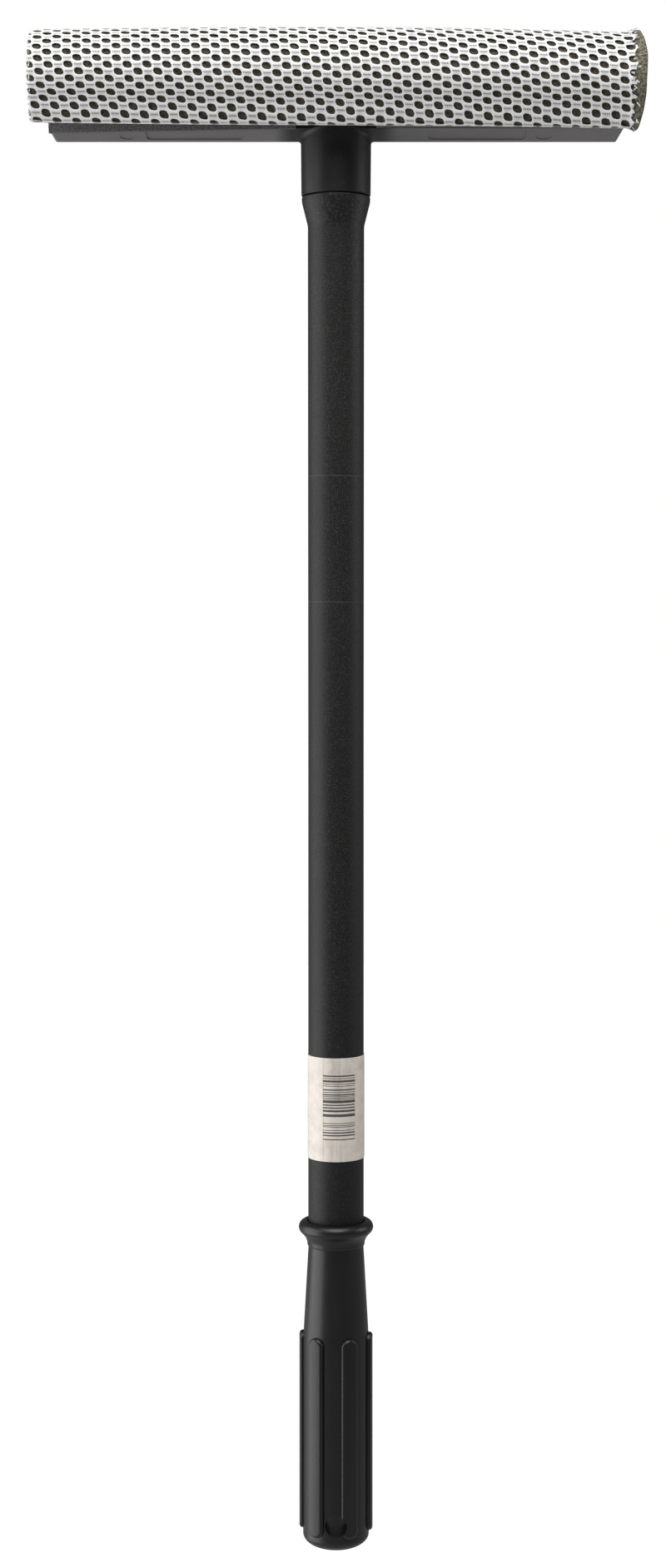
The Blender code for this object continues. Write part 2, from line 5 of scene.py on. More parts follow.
import bpy
import numpy as np
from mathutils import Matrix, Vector

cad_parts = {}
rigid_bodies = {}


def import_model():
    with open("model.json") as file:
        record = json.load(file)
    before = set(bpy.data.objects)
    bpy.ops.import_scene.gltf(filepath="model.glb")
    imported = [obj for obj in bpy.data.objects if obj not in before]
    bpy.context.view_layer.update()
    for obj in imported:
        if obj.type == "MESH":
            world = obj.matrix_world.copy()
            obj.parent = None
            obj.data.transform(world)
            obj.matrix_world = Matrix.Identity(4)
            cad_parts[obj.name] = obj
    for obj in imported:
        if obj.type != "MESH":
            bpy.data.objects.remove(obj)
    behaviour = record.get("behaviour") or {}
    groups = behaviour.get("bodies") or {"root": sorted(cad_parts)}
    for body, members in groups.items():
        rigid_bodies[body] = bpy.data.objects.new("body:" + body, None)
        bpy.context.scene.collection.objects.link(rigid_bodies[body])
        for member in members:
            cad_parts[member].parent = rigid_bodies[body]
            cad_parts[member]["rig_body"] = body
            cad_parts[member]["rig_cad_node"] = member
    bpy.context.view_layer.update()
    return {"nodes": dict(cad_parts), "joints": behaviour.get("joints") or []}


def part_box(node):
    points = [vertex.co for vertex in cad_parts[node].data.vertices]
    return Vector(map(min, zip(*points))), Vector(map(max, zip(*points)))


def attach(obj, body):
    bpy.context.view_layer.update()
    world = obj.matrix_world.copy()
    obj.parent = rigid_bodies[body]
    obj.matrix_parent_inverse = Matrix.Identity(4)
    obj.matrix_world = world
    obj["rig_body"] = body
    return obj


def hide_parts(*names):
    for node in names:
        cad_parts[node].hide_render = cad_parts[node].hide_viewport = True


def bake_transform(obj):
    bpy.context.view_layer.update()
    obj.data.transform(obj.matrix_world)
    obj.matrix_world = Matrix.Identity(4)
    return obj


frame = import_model()
print("frame loaded")

mm = 0.001
fullTurn = 2 * math.pi
hingeAt = Vector(frame["joints"][0]["pos_m"])


def deselectAll():
    if bpy.context.mode != "OBJECT":
        bpy.ops.object.mode_set(mode="OBJECT")
    bpy.ops.object.select_all(action="DESELECT")


def pickUp(item):
    deselectAll()
    item.select_set(True)
    bpy.context.view_layer.objects.active = item


def editAll(item):
    pickUp(item)
    bpy.ops.object.mode_set(mode="EDIT")
    bpy.ops.mesh.select_all(action="SELECT")


def selectFaces(item, test):
    # test gets each face's middle and normal
    bpy.ops.object.mode_set(mode="OBJECT")
    for part in (*item.data.vertices, *item.data.edges):
        part.select = False
    for face in item.data.polygons:
        face.select = bool(test(face.center, face.normal))
    bpy.ops.object.mode_set(mode="EDIT")


def applyStep(item, kind, **values):
    pickUp(item)
    bpy.ops.object.modifier_add(type=kind)
    step = item.modifiers[-1]
    for name, value in values.items():
        setattr(step, name, value)
    bpy.ops.object.modifier_apply(modifier=step.name)


def closeUp(item, angle=30, gap=1e-6):
    # merges doubles, turns the faces out and smooths all but the real edges
    editAll(item)
    bpy.ops.mesh.remove_doubles(threshold=gap)
    bpy.ops.mesh.normals_make_consistent(inside=False)
    bpy.ops.object.mode_set(mode="OBJECT")
    bpy.ops.object.shade_smooth_by_angle(angle=math.radians(angle))


def settle(item):
    # leaves the object at the origin, with its place in its mesh
    pickUp(item)
    bpy.ops.object.transform_apply(location=True, rotation=True, scale=True)


def joinAll(items, name):
    deselectAll()
    for item in items:
        item.select_set(True)
    bpy.context.view_layer.objects.active = items[0]
    bpy.ops.object.join()
    items[0].name = name
    items[0].data.name = name
    return items[0]


def spinProfile(name, profile, steps=96):
    # profile is (radius, height) in millimetres, drawn as a chain of edges and spun about the handle's axis
    deselectAll()
    bpy.ops.mesh.primitive_plane_add(size=mm)
    made = bpy.context.object
    made.name = name
    made.data.name = name
    bpy.ops.object.mode_set(mode="EDIT")
    bpy.ops.mesh.select_all(action="SELECT")
    bpy.ops.mesh.merge(type="CENTER")
    bpy.ops.transform.translate(value=(profile[0][0] * mm, 0, profile[0][1] * mm))
    for (r0, z0), (r1, z1) in zip(profile, profile[1:]):
        move = {"value": ((r1 - r0) * mm, 0, (z1 - z0) * mm)}
        bpy.ops.mesh.extrude_vertices_move(TRANSFORM_OT_translate=move)
    bpy.ops.mesh.select_all(action="SELECT")
    bpy.ops.mesh.spin(steps=steps, angle=fullTurn, center=(0, 0, 0), axis=(0, 0, 1))
    bpy.ops.object.mode_set(mode="OBJECT")
    closeUp(made)
    return made


def roundCorner(centre, radius, start, end, count=6):
    # points of a profile on an arc, angles in degrees
    angles = [math.radians(start + (end - start) * i / (count - 1)) for i in range(count)]
    return [(centre[0] + radius * math.cos(a), centre[1] + radius * math.sin(a)) for a in angles]


def refineNode(name, node, rounding, segments=2, angle=32):
    # a merged copy of a frame node, its flats made whole again and its edges rounded off
    pickUp(frame["nodes"][node])
    bpy.ops.object.duplicate()
    made = bpy.context.object
    bpy.ops.object.parent_clear(type="CLEAR_KEEP_TRANSFORM")
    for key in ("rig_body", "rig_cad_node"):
        del made[key]
    made.name = name
    made.data.name = name
    made.data.materials.clear()
    editAll(made)
    bpy.ops.mesh.customdata_custom_splitnormals_clear()
    bpy.ops.mesh.remove_doubles(threshold=2e-6)
    bpy.ops.mesh.dissolve_limited(angle_limit=math.radians(0.6))
    bpy.ops.object.mode_set(mode="OBJECT")
    if rounding:
        applyStep(
            made,
            "BEVEL",
            width=rounding * mm,
            segments=segments,
            limit_method="ANGLE",
            angle_limit=math.radians(angle),
            use_clamp_overlap=True,
            miter_outer="MITER_ARC",
        )
    closeUp(made, angle)
    return made


def pointsOf(item):
    found = np.zeros(len(item.data.vertices) * 3)
    item.data.vertices.foreach_get("co", found)
    return found.reshape(-1, 3) / mm


def setPoints(item, points):
    item.data.vertices.foreach_set("co", (points * mm).ravel())
    item.data.update()


class Wire:
    # one socket of a material, so that a pattern reads as arithmetic
    def __init__(self, bench, socket):
        self.bench = bench
        self.socket = socket

    def __add__(self, other):
        return self.bench.maths("ADD", self, other)

    def __sub__(self, other):
        return self.bench.maths("SUBTRACT", self, other)

    def __rsub__(self, other):
        return self.bench.maths("SUBTRACT", other, self)

    def __mul__(self, other):
        return self.bench.maths("MULTIPLY", self, other)

    def __truediv__(self, other):
        return self.bench.maths("DIVIDE", self, other)

    def __gt__(self, other):
        return self.bench.maths("GREATER_THAN", self, other)

    __radd__ = __add__
    __rmul__ = __mul__


class Bench:
    # the node tree of one material
    def __init__(self, name, **fixed):
        self.material = bpy.data.materials.new(name)
        self.material.use_nodes = True
        self.tree = self.material.node_tree
        self.tree.nodes.clear()
        self.shader = self.tree.nodes.new("ShaderNodeBsdfPrincipled")
        out = self.tree.nodes.new("ShaderNodeOutputMaterial")
        self.tree.links.new(self.shader.outputs[0], out.inputs[0])
        for name, value in fixed.items():
            self.shader.inputs[name.replace("_", " ")].default_value = value

    def add(self, kind, settings=None, sockets=None, output=0):
        node = self.tree.nodes.new("ShaderNode" + kind)
        for name, value in (settings or {}).items():
            setattr(node, name, value)
        for name, value in (sockets or {}).items():
            self.feed(node.inputs[name], value)
        return Wire(self, node.outputs[output])

    def feed(self, socket, value):
        if isinstance(value, Wire):
            self.tree.links.new(value.socket, socket)
        else:
            socket.default_value = value

    def maths(self, operation, first, second=0.0):
        return self.add("Math", {"operation": operation}, {0: first, 1: second})

    def place(self):
        return self.add("TexCoord", output="Object")

    def split(self, vector):
        node = self.tree.nodes.new("ShaderNodeSeparateXYZ")
        self.feed(node.inputs[0], vector)
        return [Wire(self, socket) for socket in node.outputs]

    def stretch(self, vector, scale):
        return self.add("VectorMath", {"operation": "MULTIPLY"}, {0: vector, 1: scale})

    def noise(self, vector, scale, detail=2.0, rough=0.5):
        sockets = {"Vector": vector, "Scale": scale, "Detail": detail, "Roughness": rough}
        return self.add("TexNoise", None, sockets)

    def ease(self, value, low, high):
        # 0 below low and 1 above high, with a soft passage between
        sockets = {"Value": value, "From Min": low, "From Max": high}
        return self.add("MapRange", {"interpolation_type": "SMOOTHSTEP"}, sockets)

    def band(self, value, middle, half, soft):
        # 1 within half of middle
        away = self.maths("ABSOLUTE", value - middle)
        return 1 - self.ease(away, half, half + soft)

    def blendColour(self, share, low, high):
        low, high = [value if isinstance(value, Wire) else (*value, 1.0) for value in (low, high)]
        node = self.tree.nodes.new("ShaderNodeMix")
        node.data_type = "RGBA"
        self.feed(node.inputs[0], share)
        self.feed(node.inputs[6], low)
        self.feed(node.inputs[7], high)
        return Wire(self, node.outputs[2])

    def finish(self, colour, rough, height=None, depth=0.0):
        # depth is how far the bump goes, in millimetres
        self.feed(self.shader.inputs["Base Color"], colour)
        self.feed(self.shader.inputs["Roughness"], rough)
        if height:
            sockets = {"Height": height, "Distance": depth * mm, "Strength": 1.0}
            bump = self.add("Bump", None, sockets, "Normal")
            self.feed(self.shader.inputs["Normal"], bump)
        return self.material


def dress(item, material):
    item.data.materials.clear()
    item.data.materials.append(material)


# finishes
def headPlastic():
    look = {
        "grain": 5200,
        "orangePeel": 1250,
        "mottle": 70,
        "scuffStretch": (240, 1300, 1300),
        "dark": (0.0052, 0.0048, 0.0052),
        "pale": (0.0095, 0.0090, 0.0094),
        "scuff": (0.035, 0.034, 0.034),
        # pale dust colour, made paler still as painted light reflected up from below onto the wings
        "dust": (0.150, 0.143, 0.148),
        "dustAndUplightFrom": (17, 26),  # mm from the middle: the wings are paler than the neck, as dust and as painted light from below
    }
    bench = Bench("headPlastic", Specular_IOR_Level=0.28)
    place = bench.place()
    grain = bench.noise(place, look["grain"], 2.0) * 0.4 + bench.noise(place, look["orangePeel"], 2.0) * 0.8
    mottle = bench.noise(place, look["mottle"], 4.0, 0.6)
    scuffs = bench.ease(bench.noise(bench.stretch(place, look["scuffStretch"]), 1.0, 3.0), 0.66, 0.78)
    colour = bench.blendColour(mottle, look["dark"], look["pale"])
    colour = bench.blendColour(scuffs * 0.35, colour, look["scuff"])
    away = bench.maths("ABSOLUTE", bench.split(place)[0])
    clean, dusty = look["dustAndUplightFrom"]
    # dust on the wings, partly painted light: it stands in for light reflected up from below onto them
    dust = bench.ease(away, clean * mm, dusty * mm) * (0.75 + mottle * 0.4)
    colour = bench.blendColour(dust, colour, look["dust"])
    return bench.finish(colour, 0.34 + mottle * 0.14, grain + scuffs * 0.2, 0.07)


def railPlastic():
    look = {"stipple": 1900, "mottle": 110, "dark": (0.060, 0.056, 0.059), "pale": (0.170, 0.158, 0.166)}
    bench = Bench("railPlastic", Specular_IOR_Level=0.36)
    place = bench.place()
    stipple = bench.ease(bench.noise(place, look["stipple"], 3.0, 0.65), 0.38, 0.66)
    mottle = bench.noise(place, look["mottle"], 3.0)
    colour = bench.blendColour(stipple, look["dark"], look["pale"])
    return bench.finish(colour, 0.44 + mottle * 0.2, stipple, 0.09)


def tubePlastic():
    look = {
        "speck": 2100,
        "coarse": 1050,  # the bell is more coarsely pitted than the tube
        "mottleStretch": (60, 60, 14),
        "streakStretch": (900, 900, 12),
        "dark": (0.0065, 0.0058, 0.0056),
        "pale": (0.026, 0.0243, 0.0235),
        "bellFrom": 526.0,
        "rings": (376.7, 426.8),  # faint lines round the tube
        "ringWidth": (0.15, 0.2),  # half of the line, and its soft edge
        "ring": (0.055, 0.053, 0.052),
    }
    bench = Bench("tubePlastic", Specular_IOR_Level=0.32)
    place = bench.place()
    z = bench.split(place)[2]
    speck = bench.ease(bench.noise(place, look["speck"], 3.0, 0.7), 0.50, 0.70)
    coarse = bench.ease(bench.noise(place, look["coarse"], 2.0, 0.6), 0.50, 0.64)
    onBell = bench.ease(z, look["bellFrom"] * mm, (look["bellFrom"] + 1.5) * mm)
    stipple = speck * (1 - onBell) + coarse * onBell
    mottle = bench.noise(bench.stretch(place, look["mottleStretch"]), 1.0, 4.0, 0.6)
    colour = bench.blendColour(stipple * (0.35 + mottle), look["dark"], look["pale"])
    half, soft = look["ringWidth"]
    lower, upper = [bench.band(z, ring * mm, half * mm, soft * mm) for ring in look["rings"]]
    ringMask = lower + upper
    colour = bench.blendColour(ringMask * mottle * 0.7, colour, look["ring"])
    streaks = bench.noise(bench.stretch(place, look["streakStretch"]), 1.0, 2.0)
    height = stipple * 0.8 + streaks * 0.25 - ringMask * 0.6
    return bench.finish(colour, 0.40 + mottle * 0.16, height, 0.07)


def gripPlastic():
    look = {
        "grain": 3300,
        "orangePeel": 1300,
        "wearStretch": (150, 150, 45),
        "scratchStretch": (2200, 2200, 130),
        "dark": (0.0034, 0.0031, 0.0030),
        "pale": (0.0062, 0.0058, 0.0056),
        "scratch": (0.04, 0.039, 0.038),
    }
    bench = Bench("gripPlastic", Specular_IOR_Level=0.45)
    place = bench.place()
    grain = bench.noise(place, look["grain"], 3.0) * 0.4 + bench.noise(place, look["orangePeel"], 2.0) * 0.8
    wear = bench.noise(bench.stretch(place, look["wearStretch"]), 1.0, 4.0, 0.65)
    scratches = bench.noise(bench.stretch(place, look["scratchStretch"]), 1.0, 2.0)
    scratches = bench.ease(scratches, 0.68, 0.80)
    colour = bench.blendColour(wear, look["dark"], look["pale"])
    colour = bench.blendColour(scratches * 0.3, colour, look["scratch"])
    return bench.finish(colour, 0.29 + wear * 0.14 + scratches * 0.1, grain + scratches * 0.25, 0.06)


def bladeRubber():
    look = {
        "dust": 160,
        "drawnStretch": (25, 2600, 2600),  # lines left by the die
        "dark": (0.0055, 0.0055, 0.0058),
        "dusty": (0.017, 0.0168, 0.0168),
    }
    bench = Bench("bladeRubber", Specular_IOR_Level=0.30)
    place = bench.place()
    dust = bench.noise(place, look["dust"], 5.0, 0.65)
    drawn = bench.noise(bench.stretch(place, look["drawnStretch"]), 1.0, 3.0)
    colour = bench.blendColour(bench.ease(dust, 0.45, 0.8), look["dark"], look["dusty"])
    return bench.finish(colour, 0.58 + dust * 0.2, drawn + dust * 0.3, 0.04)


def screwZinc():
    look = {
        "cloud": 420,
        "fineStretch": (5200, 900, 900),
        "dull": (0.46, 0.46, 0.44),
        "bright": (0.66, 0.66, 0.65),
    }
    bench = Bench("screwZinc", Metallic=1.0)
    place = bench.place()
    cloud = bench.noise(place, look["cloud"], 3.0, 0.6)
    fine = bench.noise(bench.stretch(place, look["fineStretch"]), 1.0, 2.0)
    colour = bench.blendColour(cloud, look["dull"], look["bright"])
    return bench.finish(colour, 0.24 + cloud * 0.22, fine, 0.015)


def foamOlive():
    look = {
        "cell": 1150,
        "broad": 65,
        "dark": (0.040, 0.036, 0.025),
        "pale": (0.190, 0.178, 0.132),
        "seam": (587.0, 116.0),  # height of the glued seam, and where it comes into view
        "seamSlant": 0.12,
        "seamWidth": (0.12, 0.15),
        "glue": (0.42, 0.40, 0.34),
        "bareFrom": 113.5,
        # painted shade: the foam under the net is darkened, standing in for the shade inside the net's
        # holes
        "covered": (0.020, 0.017, 0.013),
    }
    bench = Bench("foamOlive", Specular_IOR_Level=0.15)
    place = bench.place()
    x, _, z = bench.split(place)
    cells = bench.add("TexVoronoi", {"feature": "F1"}, {"Vector": place, "Scale": look["cell"]}, "Distance")
    pits = bench.ease(cells, 0.18, 0.62)
    broad = bench.noise(place, look["broad"], 4.0, 0.6)
    colour = bench.blendColour(pits * 0.7 + broad * 0.5, look["dark"], look["pale"])
    seamHeight, seamStart = look["seam"]
    half, soft = look["seamWidth"]
    slant = z - (x - seamStart * mm) * look["seamSlant"]
    seam = bench.band(slant, seamHeight * mm, half * mm, soft * mm)
    seam = seam * bench.ease(x, seamStart * mm, (seamStart + 1) * mm)
    # painted shade on the foam under the net, fading out where the foam comes out bare
    covered = 1 - bench.ease(x, look["bareFrom"] * mm, (look["bareFrom"] + 2.5) * mm)
    colour = bench.blendColour(covered * 0.62, colour, look["covered"])
    colour = bench.blendColour(seam * 0.75, colour, look["glue"])
    return bench.finish(colour, 0.94, pits + broad * 0.5 + seam, 0.35)


def netYarn():
    look = {
        "white": (0.90, 0.90, 0.89),
        "shade": (0.50, 0.50, 0.49),
        "pin": (0.10, 0.095, 0.09),
        "loop": (0.62, 0.54),  # one stitch, along the roll and round it, mm
        "barHalf": (1.25, 1.75),  # the solid stretch between two holes, mm from its middle
        "pinholes": (1900, 2300, 1),
        "fuzz": 2600,
    }
    bench = Bench("netYarn", Specular_IOR_Level=0.30, Sheen_Weight=0.25, Sheen_Roughness=0.6)
    weave = bench.add("UVMap", {"uv_map": "weave"})
    u, v, _ = bench.split(weave)  # in metres of the flat net
    row = bench.maths("ROUND", v / netWeave["rowStep"] / mm)
    odd = bench.maths("PINGPONG", row, 1.0)
    along = bench.maths("FRACT", u / netWeave["pitch"] / mm - odd * 0.5 + 100.0)
    fromMiddle = bench.maths("ABSOLUTE", along - 0.5) * netWeave["pitch"]  # mm from the middle of a bar
    upDown = bench.maths("ABSOLUTE", v / mm - row * netWeave["rowStep"])
    onBar = 1 - bench.ease(fromMiddle, *look["barHalf"])
    pinRow = (1 - bench.ease(upDown, 0.16, 0.40)) * onBar
    loopLong, loopHigh = look["loop"]
    loops = bench.maths("SINE", u * (fullTurn / loopLong / mm))
    pins = pinRow * bench.ease(loops, -0.35, 0.45)
    stitch = loops * bench.maths("SINE", v * (fullTurn / loopHigh / mm))
    fuzz = bench.noise(bench.place(), look["fuzz"], 3.0, 0.7)
    pinholes = bench.ease(bench.noise(bench.stretch(weave, look["pinholes"]), 1.0, 1.0), 0.66, 0.74)
    bar = onBar * (1 - bench.ease(upDown, 0.55, 1.0))
    colour = bench.blendColour(fuzz * 0.35 + pinRow * 0.4 + bar * 0.35, look["white"], look["shade"])
    colour = bench.blendColour(pins * 0.92, colour, look["pin"])
    colour = bench.blendColour(pinholes * 0.25, colour, look["pin"])
    height = stitch * 0.22 + fuzz * 0.45 - pins * 0.6 - pinholes * 0.5
    return bench.finish(colour, 0.82, height, 0.16)


def labelPaper():
    look = {
        "cream": (0.70, 0.645, 0.585),
        "ink": (0.020, 0.019, 0.019),
        "bars": (163.7, 189.4),  # lowest and highest bar, mm
        "module": 0.2735,
        "sweep": (-27.5, 41.0),  # ends of the bars round the tube, degrees from the front
        "lap": -26.5,
        # colour of the painted shadow along the step where the label overlaps itself
        "lapShadow": (0.30, 0.27, 0.235),
        "stains": 240,
        "stained": (0.53, 0.485, 0.43),
        "smear": (4.0, 10.0, 14.0),  # middle, half and soft edge, in degrees
        "smeared": (0.20, 0.185, 0.17),
    }
    bench = Bench("labelPaper", Specular_IOR_Level=0.45)
    place = bench.place()
    x, y, z = bench.split(place)
    turn = bench.maths("ARCTAN2", x, y * -1.0) * (180 / math.pi)
    module = bench.maths("FLOOR", z / (look["module"] * mm))
    picked = bench.add("TexWhiteNoise", {"noise_dimensions": "1D"}, {"W": module * 1.37 + 0.21}, "Value")
    low, high = look["bars"]
    inside = bench.band(z, (low + high) / 2 * mm, (high - low) / 2 * mm, 0.04 * mm)
    left, right = look["sweep"]
    inside = inside * bench.band(turn, (left + right) / 2, (right - left) / 2, 0.4)
    ink = (picked > 0.5) * inside
    stains = bench.ease(bench.noise(place, look["stains"], 5.0, 0.65), 0.35, 0.75)
    fibre = bench.noise(bench.stretch(place, (1500, 1500, 600)), 1.0, 3.0, 0.7)
    paper = bench.blendColour(stains * 0.8, look["cream"], look["stained"])
    smear = bench.noise(bench.stretch(place, (420, 420, 60)), 1.0, 4.0, 0.6)
    smear = bench.ease(smear, 0.45, 0.75) * bench.band(turn, *look["smear"])
    paper = bench.blendColour(smear * 0.4, paper, look["smeared"])
    # painted shadow: a darker line along the label's overlapping edge
    lap = bench.band(turn, look["lap"], 0.3, 0.9)
    paper = bench.blendColour(lap * 0.5, paper, look["lapShadow"])
    colour = bench.blendColour(ink * (0.86 + fibre * 0.1), paper, look["ink"])
    step = bench.ease(turn, look["lap"] - 0.4, look["lap"] + 0.4)
    return bench.finish(colour, 0.42 + fibre * 0.2, fibre * 0.3 + step, 0.06)


netWeave = {
    "pitch": 7.65,  # hole to hole along the roll, mm
    "rowStep": 2.72,  # row to row round it
    "hole": (1.86, 1.40),  # half width and half height
    "tilt": 0.10,  # each hole hangs lower on its +X side
    "squareness": 2.6,  # 2 makes the holes oval, more makes them squarer
    "insets": (0.42, 0.34, 0.05),  # the cell's outline is drawn in by these
    "grow": (1.22, 1.0, 0.97),  # the three rings, as shares of the hole
    "cord": 0.16,  # how far the cord round a hole stands up
    "wall": 0.55,
    "anchor": (-110.9, -4.9),  # one hole: x, and how far round from the front of the roll
    "ends": (-119.4, 116.2),
    "fold": (0.8, 7.0),  # radius of the turn over the foam's end, and how far it goes in
    "rowsDrop": 4.7,  # rows sink towards +X
    "spread": (-111, 225),  # where the sinking starts, and over what length
    "lean": 0.095,  # columns lean towards +X going down
    "curl": (0.00275, 0.005),  # and bow a little, first one way and then the other
    "wander": ((0.12, 0.41, 0.05), (0.10, 0.23, 0.11)),  # uneven stretch: height and two rates, for x and y
    "gather": (0.3, 0.75),  # the folded end puckers by this much, at this rate
    "ragged": ((0.9, 0.9, 0.0), (0.7, 2.3, 1.0)),  # waves of the cut end: height, rate and start
    "raggedMiddle": -0.6,
}

makers = [headPlastic, railPlastic, tubePlastic, gripPlastic, bladeRubber, screwZinc, foamOlive, netYarn]
makers += [labelPaper]
finishes = {make.__name__: make() for make in makers}
print("finishes made")


# handle tube, with its bell
def makeTube():
    low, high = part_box("handle_tube")
    bottom, rim = low.z / mm, high.z / mm
    bellRadius = high.x / mm
    tube = {
        "radius": 11.1,
        "radiusAtTop": 11.25,
        "straightUpTo": (200.0, 318.0),
        "bore": 9.5,
        "bottomEdge": 0.4,
        "bellFoot": 11.0,  # how far below its rim the bell starts
        "bellBore": 11.75,
        "bellDepth": 8.2,
        "rimEdge": 0.5,
    }
    radius, topRadius, bore = tube["radius"], tube["radiusAtTop"], tube["bore"]
    edge, rimEdge = tube["bottomEdge"], tube["rimEdge"]
    foot = rim - tube["bellFoot"]
    profile = [(bore, bottom), (radius - edge, bottom)]
    profile += roundCorner((radius - edge, bottom + edge), edge, -90, 0, 4)
    profile += [(radius, z) for z in tube["straightUpTo"]]
    profile += [(topRadius, foot - 2.0), (topRadius + 0.05, foot - 0.5), (topRadius + 0.25, foot + 0.4)]
    profile += [(bellRadius - 0.2, rim - 2.6), (bellRadius - 0.04, rim - 1.6), (bellRadius, rim - 0.6)]
    profile += roundCorner((bellRadius - rimEdge, rim - rimEdge), rimEdge, 0, 90, 5)
    profile += [(tube["bellBore"], rim), (tube["bellBore"], rim - tube["bellDepth"])]
    profile += [(bore, foot - 2.0), (bore, bottom)]
    made = spinProfile("handleTube", profile, 128)
    dress(made, finishes["tubePlastic"])
    return made


handleTube = makeTube()
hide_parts("handle_tube")
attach(handleTube, "squeegee")
print("handle tube made")


# bar code label
def makeLabel():
    low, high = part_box("barcode_label")
    outer, bottom, top = high.x / mm, low.z / mm, high.z / mm
    paper = {"thick": 0.2, "edge": 0.08}
    inner, edge = outer - paper["thick"], paper["edge"]
    profile = [(inner, bottom), (outer - edge, bottom), (outer, bottom + edge), (outer, top - edge)]
    profile += [(outer - edge, top), (inner, top), (inner, bottom)]
    made = spinProfile("barcodeLabel", profile, 128)
    dress(made, finishes["labelPaper"])
    return made


barcodeLabel = makeLabel()
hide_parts("barcode_label")
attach(barcodeLabel, "squeegee")
print("label made")


# grip
grip = {
    "radius": 13.15,
    "butt": (5.0, 4.7),  # radius of its flat end, and height of the rounding above it
    "coneStart": 82.1,
    "waist": (11.0, 119.6),  # radius and height
    "flare": [(11.28, 119.75), (11.45, 120.1), (11.52, 120.9), (11.75, 121.9), (12.15, 122.8)],
    "flareEnd": (12.75, 123.7),
    "collar": (12.25, 127.0, 2.65),  # middle of its round edge, and that edge's radius
    "plug": 9.2,
    "cavity": (6.5, 29.0),
    "ribs": 6,
    "ribAngle": -36.5,
    "ribSize": (6.8, 79.0),
    "ribBottom": 6.2,
    "ribRadius": 14.65,  # from the axis to the rib's crest
    "ribEase": 1.25,
    "ribSteps": 6,
    "ribRoot": 11.0,
    "ribOutline": 34,
    "hole": (4.3, 11.4),  # radius and height of the hang hole
}


def makeRib(angle):
    # a flat bar with round ends, its rim rounded by insets, then wrapped on the grip
    width, length = grip["ribSize"]
    radius = width / 2
    start = grip["ribBottom"] + radius
    ease, steps = grip["ribEase"], grip["ribSteps"]
    wall = grip["ribRadius"] - ease
    deselectAll()
    bpy.ops.mesh.primitive_circle_add(vertices=grip["ribOutline"], radius=radius * mm, fill_type="NGON")
    rib = bpy.context.object
    rib.rotation_euler.x = math.radians(90)
    rib.location = (0, -grip["ribRoot"] * mm, start * mm)
    settle(rib)
    points = pointsOf(rib)
    points[points[:, 2] > start, 2] += length - width
    setPoints(rib, points)
    editAll(rib)
    move = {"value": (0, (grip["ribRoot"] - wall) * mm, 0)}
    bpy.ops.mesh.extrude_region_move(TRANSFORM_OT_translate=move)
    for step in range(steps):
        before, after = [math.radians(90 * k / steps) for k in (step, step + 1)]
        bpy.ops.mesh.inset(thickness=ease * (math.cos(before) - math.cos(after)) * mm)
        bpy.ops.transform.translate(value=(0, -ease * (math.sin(after) - math.sin(before)) * mm, 0))
    bpy.ops.object.mode_set(mode="OBJECT")
    closeUp(rib, 45)
    x, y, z = pointsOf(rib).T
    turn = x / grip["radius"]
    setPoints(rib, np.stack([-y * np.sin(turn), y * np.cos(turn), z], axis=1))
    rib.rotation_euler.z = math.radians(angle)
    settle(rib)
    return rib


def makeGrip():
    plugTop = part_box("grip")[1].z / mm
    radius, cone = grip["radius"], grip["coneStart"]
    flat, rise = grip["butt"]
    profile = [(0.0, 0.0), (flat - 0.4, 0.0)]
    angles = [math.radians(-90 + 90 * i / 12) for i in range(1, 13)]
    profile += [(flat + (radius - flat) * math.cos(a), rise + rise * math.sin(a)) for a in angles]
    profile += [(radius, 20.0), (radius, 50.0), (radius, cone - 0.6), (radius - 0.03, cone + 0.4)]
    profile += [grip["waist"], *grip["flare"], grip["flareEnd"]]
    collarMiddle, collarHeight, collarEdge = grip["collar"]
    profile += roundCorner((collarMiddle, collarHeight), collarEdge, -56, 104, 16)
    # the groove that the tube's end sits in, then the plug and the cavity inside it
    plug = grip["plug"]
    profile += [(11.4, 129.0), (11.4, 124.3), (plug, 124.3), (plug, plugTop - 1.0), (plug - 0.7, plugTop)]
    cavity, cavityFoot = grip["cavity"]
    profile += [(cavity, plugTop), (cavity, cavityFoot), (0.0, cavityFoot - 2.0)]
    body = spinProfile("gripRibbed", profile, 128)
    for number in range(grip["ribs"]):
        rib = makeRib(grip["ribAngle"] + number * 360 / grip["ribs"])
        applyStep(body, "BOOLEAN", operation="UNION", object=rib, solver="EXACT")
        bpy.data.objects.remove(rib)
    holeRadius, holeHeight = grip["hole"]
    deselectAll()
    bpy.ops.mesh.primitive_cylinder_add(vertices=64, radius=holeRadius * mm, depth=60 * mm)
    drill = bpy.context.object
    drill.rotation_euler.x = math.radians(90)
    drill.location.z = holeHeight * mm
    settle(drill)
    applyStep(body, "BOOLEAN", operation="DIFFERENCE", object=drill, solver="EXACT")
    bpy.data.objects.remove(drill)
    closeUp(body, 38, 4e-6)
    dress(body, finishes["gripPlastic"])
    return body


gripRibbed = makeGrip()
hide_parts("grip")
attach(gripRibbed, "squeegee")
print("grip made")


# head frame, rails and screws: name, rounding of the edges in mm, finish and slot
rounded = {
    "head_frame": ("headFrame", 0.35, "headPlastic", "head_black"),
    "sponge_rail": ("spongeRail", 0.35, "railPlastic", "rail_black"),
    "blade_rail": ("bladeRail", 0.45, "railPlastic", "rail_black"),
}
for number in range(1, 5):
    rounded[f"rail_screw_{number}"] = (f"railScrew{number}", 0.0, "screwZinc", "screw_zinc")
for number in range(1, 6):
    rounded[f"blade_screw_{number}"] = (f"bladeScrew{number}", 0.0, "screwZinc", "screw_zinc")
for node, (name, rounding, finish, slot) in rounded.items():
    made = refineNode(name, node, rounding)
    dress(made, finishes[finish])
    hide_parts(node)
    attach(made, "squeegee")
print("head made")


